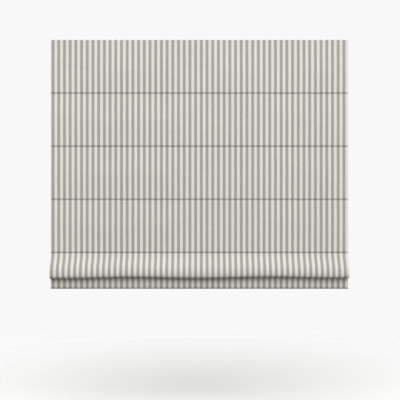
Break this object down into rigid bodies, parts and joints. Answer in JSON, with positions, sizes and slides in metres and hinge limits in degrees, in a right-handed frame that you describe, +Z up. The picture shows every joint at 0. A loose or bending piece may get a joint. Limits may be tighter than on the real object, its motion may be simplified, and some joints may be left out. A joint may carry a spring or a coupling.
{
  "type": "roman blind",
  "caption": "Partly raised roman blind of ticking-stripe cloth with sewn batten pockets, one hanging fold and a hemmed skirt, on a top-fixed spring-lift headrail.",
  "frame": {"origin": "middle of the top face of the middle bracket, where the blind is fixed", "axes": "+X along the width, to the right as seen from the room; -Y towards the room; +Z up"},
  "size_m": [1.4, 0.0814, 1.1735],
  "materials": {
    "rail": "white powder coat",
    "bracket": "zinc plated",
    "tape": "woven hook and loop tape",
    "cloth": "woven cotton with ticking stripes",
    "shaft": "drawn steel",
    "white_plastic": "moulded",
    "motor_plastic": "moulded",
    "spring": "blued spring strip",
    "screw": "zinc plated",
    "batten": "pultruded glass fibre",
    "cord": "braided polyester",
    "bar": "mill finish"
  },
  "bodies": {
    "rail": {"headrail": "rail", "end_cap_left": "white_plastic", "end_cap_right": "white_plastic", "bracket_left": "bracket", "bracket_middle": "bracket", "bracket_right": "bracket", "cradle_left": "white_plastic", "cradle_middle": "white_plastic", "cradle_right": "white_plastic", "motor_case": "motor_plastic", "motor_cover": "motor_plastic", "motor_screws": "screw", "motor_spring": "spring", "hook_strip": "tape", "loop_strip": "tape", "face_fabric": "cloth", "lift_cord_left": "cord", "lift_cord_middle": "cord", "lift_cord_right": "cord"},
    "shaft": {"lift_shaft": "shaft", "wound_cords": "cord", "motor_output_drum": "white_plastic", "spool_left": "white_plastic", "spool_middle": "white_plastic", "spool_right": "white_plastic"},
    "storage": {"motor_storage_drum": "white_plastic"},
    "row_1": {"batten_1": "batten", "cord_rings_1": "white_plastic"},
    "row_2": {"batten_2": "batten", "cord_rings_2": "white_plastic"},
    "row_3": {"batten_3": "batten", "cord_rings_3": "white_plastic"},
    "row_4": {"batten_4": "batten", "cord_rings_4": "white_plastic"},
    "bottom": {"batten_5": "batten", "cord_rings_5": "white_plastic", "cord_adjusters": "white_plastic", "bottom_bar": "bar", "bar_cap_left": "white_plastic", "bar_cap_right": "white_plastic"}
  },
  "joints": [
    {"name": "raise", "type": "slide", "parent": "rail", "child": "row_4", "axis": [0, 0, 1], "range_m": [0, 0.82], "deforming": ["face_fabric", "lift_cord_left", "lift_cord_middle", "lift_cord_right"]},
    {"name": "unfold", "type": "slide", "parent": "row_4", "child": "bottom", "axis": [0, 0, 1], "range_m": [-0.234, 0]},
    {"name": "row_1_lift", "type": "slide", "parent": "rail", "child": "row_1", "axis": [0, 0, 1], "range_m": [0, 0.1835]},
    {"name": "row_2_lift", "type": "slide", "parent": "rail", "child": "row_2", "axis": [0, 0, 1], "range_m": [0, 0.3957]},
    {"name": "row_3_lift", "type": "slide", "parent": "rail", "child": "row_3", "axis": [0, 0, 1], "range_m": [0, 0.608]},
    {"name": "shaft_turn", "type": "hinge", "parent": "rail", "child": "shaft", "pos_m": [0, 0.0075, -0.021], "axis": [-1, 0, 0], "range_deg": [0, 5730]},
    {"name": "storage_turn", "type": "hinge", "parent": "rail", "child": "storage", "pos_m": [0.26, -0.0075, -0.021], "axis": [-1, 0, 0], "range_deg": [-5730, 0]}
  ],
  "couplings": [
    {"joint": "row_1_lift", "follows": "raise", "ratio": 0.22352},
    {"joint": "row_2_lift", "follows": "raise", "ratio": 0.48235},
    {"joint": "row_3_lift", "follows": "raise", "ratio": 0.74117},
    {"joint": "shaft_turn", "follows": "raise", "rad_per_m": 121.95},
    {"joint": "storage_turn", "follows": "raise", "rad_per_m": -121.95}
  ]
}
